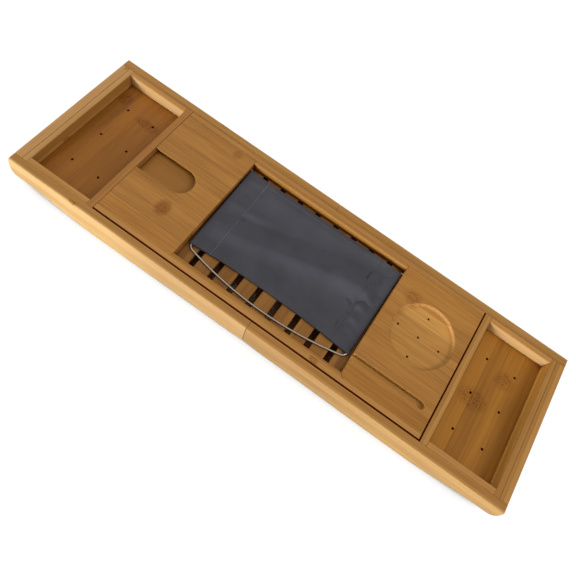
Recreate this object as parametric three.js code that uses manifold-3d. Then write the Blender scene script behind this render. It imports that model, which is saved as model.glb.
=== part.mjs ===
// Bath caddy: a centre tray between two arms that slide apart on tongue-and-groove runners,
// with a cloth rest on a wire frame that folds up out of the slatted bay.
// Lengths are millimetres. +X is to the right, +Y to the back, +Z up, and the caddy stands on z = 0.

import * as THREE from "three";
import { mergeVertices } from "three/addons/utils/BufferGeometryUtils.js";
import Module from "manifold-3d";

const wasm = await Module();
wasm.setup();

// Overall size, with the arms pushed in
const closedLength = 750;
const overallDepth = 229;
const overallHeight = 56;
const edgeEase = 0.5;
const thinEaseShare = 0.25;
const overrun = 1;

// Outer rails of the arms: depths are measured down from the top
const railThickness = 11.8;
const seamGap = 0.4;
const endBulge = 6.5;
const endBulgeDepth = 31;
const endTuck = 5;
const restDepth = 40.2;
const seamDepth = 48.5;
const waistDepth = 51.6;

// Places along an arm's underside, as shares of the arm's length from the middle seam
const restStartShare = 0.923;
const footOuterShare = 0.653;
const footInnerShare = 0.552;
const waistShare = 0.16;
const seamRiseShare = 0.08;

// How soft the underside's slopes start and end, as shares of their run
const restSlopeShares = [0.16, 0.45];
const waistSlopeShares = [0.12, 0.48];

// Side trays
const bayLength = 499;
const crossBarThickness = 9.7;
const stripThickness = 7.75;
const sideTrayDepth = 20.5;
const trayFloorThickness = 6;
const drainDiameter = 3.8;

// Places of a side tray's drain holes, as shares of half the tray's inside from its middle
const drainColumnShares = [-0.46, 0.46];
const drainRowShares = [-0.59, 0, 0.59];

// Grip pads under the arms' ends
const padLength = 19;
const padWidth = 9;
const padThickness = 1.3;

// Runners between the centre tray and the arms
const grooveDepth = 5;
const tongueHeight = 8;
const tongueDrop = 24;
const runningClearance = 0.3;

// Stop screws
const armTravel = 170;
const stopPinDiameter = 2.6;
const stopSlotDepth = 3.5;
const stopWall = 14;
const screwHeadDiameter = 6;
const screwHeadThickness = 1.6;

// Play of the centre tray between the arms, on each side
const playLeft = 0.3;
const playRight = 1.8;
const playFront = 1.7;
const playBack = 0.4;

// Centre tray
const centreRailThickness = 7.1;
const centreRailHeight = 34;
const panelThickness = 12;
const leftPanelLength = 117.3;
const rightPanelLength = 120.9;
const lipWidth = 5.5;
const frameDepth = 31;
const crossRailThickness = 10;
const bearerWidth = 12;

// Slats
const slatWidth = 21.5;
const slatGap = 8.87;
const slatDrop = 14;
const slatThickness = 7;

// Glass slot and the pocket for the glass's foot under it
const glassSlotWidth = 41.4;
const glassSlotReach = 77.2;
const glassSlotOffset = 1.5;
const footPocketWidth = 80;
const footPocketHeight = 8;
const glassFloorThickness = 5;

// Mug recess: its drain holes lie a little to the left of its centre and in front of it
const mugRecessDiameter = 90.7;
const mugRecessDepth = 6;
const mugRecessCove = 2;
const mugRecessInset = 57.7;
const mugRecessOffset = 17.5;
const mugDrainDiameter = 3.4;
const mugDrainLag = 2.7;
const mugDrainReachShare = 0.35;

// Phone groove: narrow along its length, and wider at its round end
const phoneGrooveWidth = 6.8;
const phoneGrooveEndWidth = 10.2;
const phoneGrooveDepth = 8;
const phoneGrooveReach = 108.5;
const phoneGrooveBack = -58.2;
const phoneGrooveLip = 9;
const panelCornerRadius = 7;

// Rack: wire frame and cloth
const wireDiameter = 2.6;
const pivotDrop = 8.5;
const pivotInset = 6.4;
const pegLength = 6;
const pegEndClearance = 0.6;
const pivotBendRadius = 4;
const cornerBendRadius = 8;
const bowSetback = 9.2;
const bowRise = 29;
const rackSideClearance = 1.2;
const rackTaper = 4.4;
const restClearance = 0.3;
const clothThickness = 0.8;
const clothBackInset = 4.6;
const clothFrontInset = 4.4;
const hemWidth = 33;
const hemSeamWidth = 2.5;
const sheetThickness = 1.2;
const sheetRise = 0.4;
const sheetSag = 1.2;
const foldHeight = 1.1;
const frontEdgeDip = 6;

// Sets of soft folds that run slantwise over the cloth, each with its half waves across half the cloth
const foldSets = [
  { halfWaves: 3, start: 0, heightShare: 0.5 },
  { halfWaves: 5.1, start: 1, heightShare: 0.33 },
];

// Counts of facets
const curveFacets = 10;
const roundFacets = 48;
const coveFacets = 3;
const holeFacets = 16;
const wireFacets = 8;
const wireSteps = 200;
const clothSteps = 14;
const clothColumns = 18;
const sleeveFacets = 3;

// Worked out from the sizes above
const top = overallHeight;
const armLength = closedLength / 2;
const railOuter = overallDepth / 2;
const railInner = railOuter - railThickness;
const endInner = armLength - railThickness;
const grooveFloor = railInner + grooveDepth;
const tongueTip = grooveFloor - runningClearance;
const pinRadius = stopPinDiameter / 2;
const pinPassage = pinRadius + runningClearance;
const headPassage = screwHeadDiameter / 2 + runningClearance;
const stopSlotStart = seamGap / 2 + stopWall;
const stopPinPlace = stopSlotStart + armTravel + pinPassage;
const centreLeft = -bayLength / 2 + playLeft;
const centreRight = bayLength / 2 - playRight;
const centreFront = -railInner + playFront;
const centreBack = railInner - playBack;
const panelFront = centreFront + centreRailThickness;
const panelBack = centreBack - centreRailThickness;
const windowLeft = centreLeft + leftPanelLength;
const windowRight = centreRight - rightPanelLength;
const windowLength = windowRight - windowLeft;
const windowFront = panelFront + lipWidth;
const windowBack = panelBack - lipWidth;
const rackCentre = (windowLeft + windowRight) / 2;
const pivotY = windowBack - pivotInset;
const wireRadius = wireDiameter / 2;
const sleeveBore = wireRadius + restClearance;
const sleeveRadius = sleeveBore + clothThickness;
const clothHalfWidth = windowLength / 2 - rackSideClearance;
const wireHalfWidth = clothHalfWidth - sleeveRadius;
const wireCornerReach = pivotY - windowFront - bowSetback - bowRise / 2;
const clothFrontReach = wireCornerReach - clothFrontInset;
const clothLength = clothFrontReach - clothBackInset;

// Height above the ground of a place given by its depth below the top
function below(depth) {
  return top - depth;
}

function bamboo(colour) {
  return new THREE.MeshStandardMaterial({ color: colour, roughness: 0.5, metalness: 0 });
}

function steel() {
  return new THREE.MeshStandardMaterial({ color: "#b9b4ae", roughness: 0.3, metalness: 1 });
}

function cloth() {
  return new THREE.MeshStandardMaterial({ color: "#4b4a50", roughness: 0.9, metalness: 0 });
}

function silicone() {
  return new THREE.MeshStandardMaterial({ color: "#d9d3c4", roughness: 0.6, metalness: 0 });
}

const railColour = "#c58d52";
const panelColour = "#a8733b";
const trayFloorColour = "#8a5c2c";
const stripColour = "#b98350";
const frameColour = "#a06a34";

// Keep only the positions and join the vertices that share a place
function welded(geometry) {
  geometry.deleteAttribute("normal");
  geometry.deleteAttribute("uv");
  return mergeVertices(geometry);
}

function toSolid(geometry) {
  const source = welded(geometry);
  const vertProperties = new Float32Array(source.getAttribute("position").array);
  const triVerts = new Uint32Array(source.getIndex().array);
  return new wasm.Manifold(new wasm.Mesh({ numProp: 3, vertProperties, triVerts }));
}

// The first geometry with every other one cut out of it
function cutOut(geometry, ...cutters) {
  let solid = toSolid(geometry);
  for (const cutter of cutters) {
    solid = solid.subtract(toSolid(cutter));
  }
  const mesh = solid.getMesh();
  const result = new THREE.BufferGeometry();
  result.setAttribute("position", new THREE.BufferAttribute(mesh.vertProperties, 3));
  result.setIndex(new THREE.BufferAttribute(mesh.triVerts, 1));
  return result;
}

function piece(name, geometry, material) {
  const mesh = new THREE.Mesh(welded(geometry), material);
  mesh.name = name;
  mesh.geometry.computeVertexNormals();
  return mesh;
}

// An outline in X and Y made into a board from z = 0 up, with eased edges
function boardFrom(outline, thickness, ease = edgeEase) {
  const geometry = new THREE.ExtrudeGeometry(outline, {
    depth: thickness - 2 * ease,
    curveSegments: curveFacets,
    bevelEnabled: ease > 0,
    bevelThickness: ease,
    bevelSize: ease,
    bevelOffset: -ease,
    bevelSegments: 1,
  });
  return geometry.translate(0, 0, ease);
}

// Turn an extrusion so that its outline stands in X and Z and its length runs to -Y
function stoodUp(geometry) {
  return geometry.rotateX(Math.PI / 2);
}

// A rectangle with cut corners, centred
function easedRectangle(length, width, ease) {
  const outline = new THREE.Shape();
  outline.moveTo(length / 2 - ease, -width / 2);
  outline.lineTo(length / 2, ease - width / 2);
  outline.lineTo(length / 2, width / 2 - ease);
  outline.lineTo(length / 2 - ease, width / 2);
  outline.lineTo(ease - length / 2, width / 2);
  outline.lineTo(-length / 2, width / 2 - ease);
  outline.lineTo(-length / 2, ease - width / 2);
  outline.lineTo(ease - length / 2, -width / 2);
  outline.closePath();
  return outline;
}

// The length and the middle of a range written as [low, high]
function lengthOf(range) {
  return range[1] - range[0];
}

function middleOf(range) {
  return (range[0] + range[1]) / 2;
}

// A bar with eased edges that fills the given ranges of X, Y and Z
function bar(name, colour, x, y, z) {
  const thinnest = Math.min(lengthOf(x), lengthOf(y), lengthOf(z));
  const ease = Math.min(edgeEase, thinEaseShare * thinnest);
  const geometry = boardFrom(easedRectangle(lengthOf(x), lengthOf(y), ease), lengthOf(z), ease);
  const mesh = piece(name, geometry, bamboo(colour));
  mesh.position.set(middleOf(x), middleOf(y), z[0]);
  return mesh;
}

// A plain cutter on the side where y has the given sign, its range of Y counted from the middle
function sideCutter(sign, x, y, z) {
  const geometry = new THREE.BoxGeometry(lengthOf(x), lengthOf(y), lengthOf(z));
  return geometry.translate(middleOf(x), sign * middleOf(y), middleOf(z));
}

// A round cutter that stands on z = low
function drill(x, y, low, high, diameter) {
  const geometry = new THREE.CylinderGeometry(diameter / 2, diameter / 2, high - low, holeFacets);
  return geometry.rotateX(Math.PI / 2).translate(x, y, (low + high) / 2);
}

// A plain cutter that follows an outline from z = low to z = high
function outlineCutter(outline, low, high) {
  const options = { depth: high - low, curveSegments: curveFacets, bevelEnabled: false };
  return new THREE.ExtrudeGeometry(outline, options).translate(0, 0, low);
}

// A cutter that eases the rim where an outline opens in a face at height z
function rimCutter(outline, z) {
  const geometry = new THREE.ExtrudeGeometry(outline, {
    depth: overrun,
    curveSegments: curveFacets,
    bevelEnabled: true,
    bevelThickness: edgeEase,
    bevelSize: edgeEase,
    bevelOffset: 0,
    bevelSegments: 1,
  });
  return geometry.translate(0, 0, z);
}

// Arms

// The outward curve of an arm's end, drawn from the top down to the resting face
function drawEnd(outline) {
  const tip = armLength + endBulge;
  outline.quadraticCurveTo(tip, below(endBulgeDepth / 2), tip, below(endBulgeDepth));
  outline.quadraticCurveTo(tip, below(restDepth), armLength - endTuck, below(restDepth));
}

// A soft slope to a new height, level at both its ends
function drawSlope(outline, from, to, shares) {
  const run = to.x - from.x;
  const first = from.x + run * shares[0];
  const second = to.x - run * shares[1];
  outline.bezierCurveTo(first, from.y, second, to.y, to.x, to.y);
}

function railOutline() {
  const start = seamGap / 2;
  const restStart = new THREE.Vector2(armLength * restStartShare, below(restDepth));
  const footOuter = new THREE.Vector2(armLength * footOuterShare, 0);
  const footInner = new THREE.Vector2(armLength * footInnerShare, 0);
  const waist = new THREE.Vector2(armLength * waistShare, below(waistDepth));
  const riseStart = armLength * seamRiseShare;
  const outline = new THREE.Shape();
  outline.moveTo(start, top);
  outline.lineTo(armLength, top);
  drawEnd(outline);
  outline.lineTo(restStart.x, restStart.y);
  drawSlope(outline, restStart, footOuter, restSlopeShares);
  outline.lineTo(footInner.x, footInner.y);
  drawSlope(outline, footInner, waist, waistSlopeShares);
  outline.lineTo(riseStart, waist.y);
  outline.quadraticCurveTo((start + riseStart) / 2, waist.y, start, below(seamDepth));
  outline.closePath();
  return outline;
}

// An outer rail on the side of the arm where y has the given sign
function outerRail(name, sign) {
  const rail = stoodUp(boardFrom(railOutline(), railThickness));
  rail.translate(0, sign > 0 ? railOuter : -railInner, 0);
  const grooveHalf = tongueHeight / 2 + runningClearance;
  const groove = sideCutter(
    sign,
    [-overrun, bayLength / 2 + crossBarThickness / 2],
    [railInner - overrun, grooveFloor],
    [below(tongueDrop + grooveHalf), below(tongueDrop - grooveHalf)],
  );
  const stopSlot = sideCutter(
    sign,
    [stopSlotStart, stopPinPlace + pinPassage],
    [railInner, grooveFloor + stopSlotDepth],
    [below(tongueDrop + pinPassage), below(tongueDrop - pinPassage)],
  );
  return piece(name, cutOut(rail, groove, stopSlot), bamboo(railColour));
}

function endRail(name) {
  const outline = new THREE.Shape();
  outline.moveTo(endInner, top);
  outline.lineTo(armLength, top);
  drawEnd(outline);
  outline.lineTo(endInner, below(restDepth));
  outline.closePath();
  const geometry = stoodUp(boardFrom(outline, 2 * railInner)).translate(0, railInner, 0);
  return piece(name, geometry, bamboo(railColour));
}

function trayFloor(name) {
  const reach = [bayLength / 2, endInner];
  const surface = below(sideTrayDepth);
  const underside = surface - trayFloorThickness;
  const board = boardFrom(easedRectangle(lengthOf(reach), 2 * railInner, edgeEase), trayFloorThickness);
  board.translate(middleOf(reach), 0, underside);
  const inside = [bayLength / 2 + crossBarThickness, endInner - stripThickness];
  const holes = [];
  for (const columnShare of drainColumnShares) {
    for (const rowShare of drainRowShares) {
      const x = middleOf(inside) + (columnShare * lengthOf(inside)) / 2;
      const y = rowShare * (railInner - stripThickness);
      holes.push(drill(x, y, underside - overrun, surface + overrun, drainDiameter));
    }
  }
  return piece(name, cutOut(board, ...holes), bamboo(trayFloorColour));
}

function gripPad(name, sign) {
  const rest = [armLength * restStartShare, armLength - endTuck];
  const outline = easedRectangle(padLength, padWidth, edgeEase);
  const mesh = piece(name, boardFrom(outline, padThickness, thinEaseShare * padThickness), silicone());
  const y = sign * middleOf([railInner, railOuter]);
  mesh.position.set(middleOf(rest), y, below(restDepth + padThickness));
  return mesh;
}

// An arm is drawn as the right one, and the left one is the same arm turned half round
function arm(side) {
  const group = new THREE.Group();
  const nearFront = side === "right" ? "front" : "back";
  const nearBack = side === "right" ? "back" : "front";
  const barInner = bayLength / 2;
  const barOuter = barInner + crossBarThickness;
  const stripInner = railInner - stripThickness;
  const stripEnd = endInner - stripThickness;
  const across = [-railInner, railInner];
  const between = [barOuter, stripEnd];
  const wall = [below(sideTrayDepth), top];
  group.add(outerRail(`${side}_${nearFront}_rail`, -1));
  group.add(outerRail(`${side}_${nearBack}_rail`, 1));
  group.add(endRail(`${side}_end_rail`));
  group.add(trayFloor(`${side}_tray_floor`));
  group.add(bar(`${side}_cross_bar`, stripColour, [barInner, barOuter], across, wall));
  group.add(bar(`${side}_end_strip`, stripColour, [stripEnd, endInner], across, wall));
  group.add(bar(`${side}_${nearFront}_strip`, stripColour, between, [-railInner, -stripInner], wall));
  group.add(bar(`${side}_${nearBack}_strip`, stripColour, between, [stripInner, railInner], wall));
  group.add(gripPad(`${side}_${nearFront}_grip`, -1));
  group.add(gripPad(`${side}_${nearBack}_grip`, 1));
  group.rotation.z = side === "right" ? 0 : Math.PI;
  return group;
}

// Centre tray

// A long rail of the centre tray with its tongue, drawn in Y and Z and run along X
function centreRail(name, sign) {
  const inner = sign > 0 ? panelBack : panelFront;
  const outer = sign > 0 ? centreBack : centreFront;
  const tip = sign * tongueTip;
  const bottom = below(centreRailHeight);
  const outline = new THREE.Shape();
  outline.moveTo(inner, bottom);
  outline.lineTo(outer, bottom);
  outline.lineTo(outer, below(tongueDrop + tongueHeight / 2));
  outline.lineTo(tip, below(tongueDrop + tongueHeight / 2));
  outline.lineTo(tip, below(tongueDrop - tongueHeight / 2));
  outline.lineTo(outer, below(tongueDrop - tongueHeight / 2));
  outline.lineTo(outer, top);
  outline.lineTo(inner, top);
  outline.closePath();
  const length = centreRight - centreLeft;
  const rail = boardFrom(outline, length).rotateX(Math.PI / 2).rotateZ(Math.PI / 2);
  rail.translate(centreLeft, 0, 0);
  const passages = [];
  const tipReach = tongueTip + overrun;
  const headReach = Math.abs(inner) + screwHeadThickness;
  for (const side of [-1, 1]) {
    for (const [radius, reach] of [[pinPassage, tipReach], [headPassage, headReach]]) {
      const passage = new THREE.CylinderGeometry(radius, radius, reach, holeFacets);
      passages.push(passage.translate(side * stopPinPlace, (sign * reach) / 2, below(tongueDrop)));
    }
  }
  return piece(name, cutOut(rail, ...passages), bamboo(panelColour));
}

// The U-shaped outline of the glass slot or of the pocket under it
function slotOutline(width) {
  const roundCentre = centreLeft + glassSlotReach - glassSlotWidth / 2;
  const outline = new THREE.Shape();
  outline.moveTo(centreLeft - overrun, glassSlotOffset - width / 2);
  outline.lineTo(roundCentre, glassSlotOffset - width / 2);
  outline.absarc(roundCentre, glassSlotOffset, width / 2, -Math.PI / 2, Math.PI / 2, false);
  outline.lineTo(centreLeft - overrun, glassSlotOffset + width / 2);
  outline.closePath();
  return outline;
}

// The blind hole for one of the rack's pegs, in the panel beside the bay
function pegHole(sign) {
  const mouth = sign > 0 ? windowRight : windowLeft;
  const depth = pegLength + pegEndClearance;
  const radius = wireRadius + runningClearance;
  const geometry = new THREE.CylinderGeometry(radius, radius, depth + overrun, holeFacets);
  geometry.rotateZ(Math.PI / 2);
  return geometry.translate(mouth + (sign * (depth - overrun)) / 2, pivotY, below(pivotDrop));
}

function leftPanel() {
  const across = [panelFront, panelBack];
  const underside = below(panelThickness);
  const board = boardFrom(easedRectangle(leftPanelLength, lengthOf(across), edgeEase), panelThickness);
  board.translate(middleOf([centreLeft, windowLeft]), middleOf(across), underside);
  const pocketRoof = underside + footPocketHeight;
  const pocket = outlineCutter(slotOutline(footPocketWidth), underside - overrun, pocketRoof);
  const slot = outlineCutter(slotOutline(glassSlotWidth), pocketRoof - overrun, top + overrun);
  const rim = rimCutter(slotOutline(glassSlotWidth), top);
  return piece("left_panel", cutOut(board, pocket, slot, rim, pegHole(-1)), bamboo(panelColour));
}

// The right panel's outline, grown by a margin, with its corner beside the bay's front rounded
function rightPanelOutline(margin) {
  const left = windowRight - margin;
  const front = panelFront - margin;
  const radius = panelCornerRadius + margin;
  const outline = new THREE.Shape();
  outline.moveTo(left + radius, front);
  outline.lineTo(centreRight, front);
  outline.lineTo(centreRight, panelBack);
  outline.lineTo(left, panelBack);
  outline.lineTo(left, front + radius);
  outline.absarc(left + radius, front + radius, radius, Math.PI, 1.5 * Math.PI, false);
  outline.closePath();
  return outline;
}

// The phone groove, open to the bay, with a rounded lip at its mouth and a round far end
function phoneGrooveOutline() {
  const radius = phoneGrooveEndWidth / 2;
  const centreY = phoneGrooveBack - radius;
  const centreX = windowRight + phoneGrooveReach - radius;
  const frontEdge = phoneGrooveBack - phoneGrooveWidth;
  const lipX = windowRight + phoneGrooveLip;
  const lipY = frontEdge - phoneGrooveLip;
  const meeting = Math.asin((frontEdge - centreY) / radius);
  const outline = new THREE.Shape();
  outline.moveTo(windowRight - overrun, lipY);
  outline.lineTo(windowRight, lipY);
  outline.absarc(lipX, lipY, phoneGrooveLip, Math.PI, Math.PI / 2, true);
  outline.absarc(centreX, centreY, radius, -Math.PI - meeting, Math.PI / 2, false);
  outline.lineTo(windowRight - overrun, phoneGrooveBack);
  outline.closePath();
  return outline;
}

// The round recess as a turned cutter, with a round cove at its foot and an eased rim
function mugRecess(x, y) {
  const radius = mugRecessDiameter / 2;
  const profile = [new THREE.Vector2(0, -mugRecessDepth)];
  for (let step = 0; step <= coveFacets; step += 1) {
    const angle = (Math.PI * step) / (2 * coveFacets);
    const inset = mugRecessCove * (1 - Math.sin(angle));
    const rise = mugRecessCove * (1 - Math.cos(angle));
    profile.push(new THREE.Vector2(radius - inset, rise - mugRecessDepth));
  }
  profile.push(new THREE.Vector2(radius, -edgeEase));
  profile.push(new THREE.Vector2(radius + edgeEase + overrun, overrun));
  profile.push(new THREE.Vector2(0, overrun));
  return new THREE.LatheGeometry(profile, roundFacets).rotateX(Math.PI / 2).translate(x, y, top);
}

function rightPanel() {
  const board = boardFrom(rightPanelOutline(0), panelThickness).translate(0, 0, below(panelThickness));
  const recessX = centreRight - mugRecessInset;
  const cutters = [mugRecess(recessX, mugRecessOffset), pegHole(1)];
  const drainReach = mugDrainReachShare * mugRecessDiameter;
  for (const [column, row] of [[0, 0], [-1, 0], [1, 0], [0, -1], [0, 1]]) {
    const x = recessX - mugDrainLag + column * drainReach;
    const y = mugRecessOffset - mugDrainLag + row * drainReach;
    cutters.push(drill(x, y, below(panelThickness) - overrun, top, mugDrainDiameter));
  }
  const groove = phoneGrooveOutline();
  cutters.push(outlineCutter(groove, below(phoneGrooveDepth), top + overrun));
  cutters.push(rimCutter(groove, top));
  return piece("right_panel", cutOut(board, ...cutters), bamboo(panelColour));
}

// The slats across the bay, as many as fill it: the outer two take what width the inner ones leave
function slats() {
  const slatCount = Math.round(windowLength / (slatWidth + slatGap));
  const innerCount = slatCount - 2;
  const edgeWidth = (windowLength - innerCount * slatWidth - (slatCount - 1) * slatGap) / 2;
  const across = [panelFront, panelBack];
  const thickness = [below(slatDrop + slatThickness), below(slatDrop)];
  const pieces = [];
  let start = windowLeft;
  for (let index = 1; index <= slatCount; index += 1) {
    const width = index === 1 || index === slatCount ? edgeWidth : slatWidth;
    pieces.push(bar(`slat_${index}`, panelColour, [start, start + width], across, thickness));
    start += width + slatGap;
  }
  return pieces;
}

// A stop screw: its head is sunk in the centre rail's inner face, its end rides in the arm's slot
function stopScrew(name, sideX, sideY) {
  const face = sideY > 0 ? panelBack : -panelFront;
  const seat = face + screwHeadThickness;
  const end = grooveFloor + stopSlotDepth - runningClearance;
  const profile = [
    new THREE.Vector2(0, face),
    new THREE.Vector2(screwHeadDiameter / 2, face),
    new THREE.Vector2(screwHeadDiameter / 2, seat),
    new THREE.Vector2(pinRadius, seat),
    new THREE.Vector2(pinRadius, end),
    new THREE.Vector2(0, end),
  ];
  const mesh = piece(name, new THREE.LatheGeometry(profile, holeFacets), steel());
  mesh.position.set(sideX * stopPinPlace, 0, below(tongueDrop));
  mesh.rotation.z = sideY > 0 ? 0 : Math.PI;
  return mesh;
}

// The lip along the bay's front, whose right end lies in the hollow beside the right panel's round corner
function frontLip() {
  const size = [windowLength + panelCornerRadius, lipWidth];
  const height = slatDrop;
  const lip = boardFrom(easedRectangle(size[0], size[1], edgeEase), height);
  lip.translate(windowLeft + size[0] / 2, panelFront + lipWidth / 2, below(height));
  const corner = outlineCutter(rightPanelOutline(runningClearance), below(height) - overrun, top + overrun);
  const cheek = new THREE.BoxGeometry(panelCornerRadius, overallDepth, slatDrop - panelThickness);
  cheek.translate(windowRight + panelCornerRadius / 2, 0, below((slatDrop + panelThickness) / 2));
  return piece("bay_front_lip", cutOut(lip, corner, cheek), bamboo(panelColour));
}

// The bars of the bay and of the frame under the panels, each with its ranges of X, Y and Z
function frameBars() {
  const panelUnderside = below(panelThickness);
  const glassFloorUnderside = panelUnderside - glassFloorThickness;
  const slatUnderside = below(slatDrop + slatThickness);
  const cheekLeft = windowLeft - crossRailThickness;
  const cheekRight = windowRight + crossRailThickness;
  const bay = [windowLeft, windowRight];
  const across = [panelFront, panelBack];
  const bearer = [below(frameDepth), slatUnderside];
  const upright = [below(frameDepth), panelUnderside];
  const leftUpright = [below(frameDepth), glassFloorUnderside];
  const glassFloor = [glassFloorUnderside, panelUnderside];
  const leftEnd = [centreLeft, centreLeft + crossRailThickness];
  const rightEnd = [centreRight - crossRailThickness, centreRight];
  return [
    bar("bay_back_lip", panelColour, bay, [windowBack, panelBack], [below(slatDrop), top]),
    bar("bay_front_bearer", frameColour, bay, [panelFront, panelFront + bearerWidth], bearer),
    bar("bay_back_bearer", frameColour, bay, [panelBack - bearerWidth, panelBack], bearer),
    bar("bay_left_cheek", frameColour, [cheekLeft, windowLeft], across, upright),
    bar("bay_right_cheek", frameColour, [windowRight, cheekRight], across, upright),
    bar("centre_left_end_rail", frameColour, leftEnd, across, leftUpright),
    bar("centre_right_end_rail", frameColour, rightEnd, across, upright),
    bar("glass_slot_floor", panelColour, [centreLeft, cheekLeft], across, glassFloor),
  ];
}

function centreTray() {
  const group = new THREE.Group();
  group.add(centreRail("centre_front_rail", -1));
  group.add(centreRail("centre_back_rail", 1));
  group.add(leftPanel());
  group.add(rightPanel());
  group.add(...slats());
  group.add(frontLip());
  group.add(...frameBars());
  for (const [sideName, sideX] of [["left", -1], ["right", 1]]) {
    for (const [faceName, sideY] of [["front", -1], ["back", 1]]) {
      group.add(stopScrew(`${sideName}_${faceName}_stop_screw`, sideX, sideY));
    }
  }
  return group;
}

// Rack, drawn flat with its hinge axis on X through the origin and its bow towards -Y

function at(x, y, z) {
  return new THREE.Vector3(x, y, z);
}

// A point on the way from one point to another
function towards(from, to, distance) {
  const step = new THREE.Vector3().subVectors(to, from).setLength(distance);
  return new THREE.Vector3().addVectors(from, step);
}

// The wire's centre line: peg, side, bow, side, peg, with round bends between them
function wirePath() {
  const pegEnd = windowLength / 2 + pegLength;
  const backCorner = at(wireHalfWidth, 0, 0);
  const narrowing = (rackTaper * wireCornerReach) / clothFrontReach;
  const frontCorner = at(wireHalfWidth - narrowing, -wireCornerReach, 0);
  const bowMiddle = at(0, -wireCornerReach - bowRise, 0);
  const half = [
    at(pegEnd, 0, 0),
    towards(backCorner, at(pegEnd, 0, 0), pivotBendRadius),
    backCorner,
    towards(backCorner, frontCorner, pivotBendRadius),
    towards(frontCorner, backCorner, cornerBendRadius),
    frontCorner,
    towards(frontCorner, bowMiddle, cornerBendRadius),
  ];
  const mirrored = half.map((point) => at(-point.x, point.y, point.z));
  const path = new THREE.CurvePath();
  path.add(new THREE.LineCurve3(mirrored[0], mirrored[1]));
  path.add(new THREE.QuadraticBezierCurve3(mirrored[1], mirrored[2], mirrored[3]));
  path.add(new THREE.LineCurve3(mirrored[3], mirrored[4]));
  path.add(new THREE.QuadraticBezierCurve3(mirrored[4], mirrored[5], mirrored[6]));
  path.add(new THREE.QuadraticBezierCurve3(mirrored[6], bowMiddle, half[6]));
  path.add(new THREE.QuadraticBezierCurve3(half[6], half[5], half[4]));
  path.add(new THREE.LineCurve3(half[4], half[3]));
  path.add(new THREE.QuadraticBezierCurve3(half[3], half[2], half[1]));
  path.add(new THREE.LineCurve3(half[1], half[0]));
  return path;
}

function rackWire() {
  const section = new THREE.Shape();
  for (let index = 0; index < wireFacets; index += 1) {
    const angle = (2 * Math.PI * index) / wireFacets;
    const x = wireRadius * Math.cos(angle);
    const y = wireRadius * Math.sin(angle);
    if (index === 0) {
      section.moveTo(x, y);
    } else {
      section.lineTo(x, y);
    }
  }
  section.closePath();
  const geometry = new THREE.ExtrudeGeometry(section, { steps: wireSteps, extrudePath: wirePath() });
  return piece("rack_wire", geometry, steel());
}

// The cloth's section in X and Z: a hanging sheet with a sewn sleeve round the wire at each side
function clothSection() {
  const hem = clothHalfWidth - hemWidth;
  const outline = new THREE.Shape();
  outline.moveTo(-wireHalfWidth, -sleeveRadius);
  outline.lineTo(-hem - hemSeamWidth, sheetRise - clothThickness);
  for (let column = 0; column <= clothColumns; column += 1) {
    const share = (2 * column) / clothColumns - 1;
    outline.lineTo(hem * share, sheetRise - sheetSag * (1 - share * share));
  }
  outline.lineTo(hem + hemSeamWidth, sheetRise - clothThickness);
  outline.lineTo(wireHalfWidth, -sleeveRadius);
  outline.absarc(wireHalfWidth, 0, sleeveRadius, -Math.PI / 2, Math.PI / 2, false);
  for (let column = clothColumns; column >= 0; column -= 1) {
    const share = (2 * column) / clothColumns - 1;
    outline.lineTo(hem * share, sheetRise + sheetThickness - sheetSag * (1 - share * share));
  }
  outline.lineTo(-wireHalfWidth, sleeveRadius);
  outline.absarc(-wireHalfWidth, 0, sleeveRadius, Math.PI / 2, 1.5 * Math.PI, false);
  for (const sign of [-1, 1]) {
    const hole = new THREE.Path();
    hole.moveTo(sign * (hem + 2 * hemSeamWidth), sheetRise + clothThickness / 4);
    hole.lineTo(sign * wireHalfWidth, -sleeveBore);
    hole.absarc(sign * wireHalfWidth, 0, sleeveBore, -Math.PI / 2, Math.PI / 2, sign < 0);
    outline.holes.push(hole);
  }
  return outline;
}

// Height of the folds at a place on the sheet, nothing at the hems
function foldAt(x, share) {
  const hem = clothHalfWidth - hemWidth;
  const fade = Math.max(0, 1 - (x / hem) ** 2);
  const slant = Math.PI * (x / clothHalfWidth + share);
  let height = 0;
  for (const set of foldSets) {
    height += set.heightShare * Math.sin(set.halfWaves * slant + set.start);
  }
  return foldHeight * fade * height;
}

function rackCloth() {
  const sheet = new THREE.ExtrudeGeometry(clothSection(), {
    depth: clothLength,
    steps: clothSteps,
    curveSegments: sleeveFacets,
    bevelEnabled: false,
  });
  const geometry = stoodUp(sheet);
  const place = geometry.getAttribute("position");
  for (let index = 0; index < place.count; index += 1) {
    const x = place.getX(index);
    const share = -place.getY(index) / clothLength;
    const reach = clothBackInset + share * clothLength;
    const narrowing = (rackTaper * reach) / clothFrontReach / wireHalfWidth;
    const dip = frontEdgeDip * share * Math.max(0, 1 - (x / wireHalfWidth) ** 2);
    place.setX(index, x * (1 - narrowing));
    place.setY(index, dip - reach);
    place.setZ(index, place.getZ(index) + foldAt(x, share));
  }
  return piece("rack_cloth", geometry, cloth());
}

function rack() {
  const group = new THREE.Group();
  const fall = slatDrop - pivotDrop - sleeveRadius - restClearance;
  group.add(rackWire());
  group.add(rackCloth());
  group.position.set(rackCentre, pivotY, below(pivotDrop));
  group.rotation.x = Math.asin(fall / clothFrontReach);
  return group;
}

const caddy = new THREE.Group();
caddy.add(arm("left"));
caddy.add(arm("right"));
caddy.add(centreTray());
caddy.add(rack());

export default caddy;
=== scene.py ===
"""Looks of the bath caddy: laminated bamboo, a slate cloth rest on a bent wire, and its studio."""

import math

import bmesh
import bpy
from mathutils import Matrix, Vector


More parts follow.
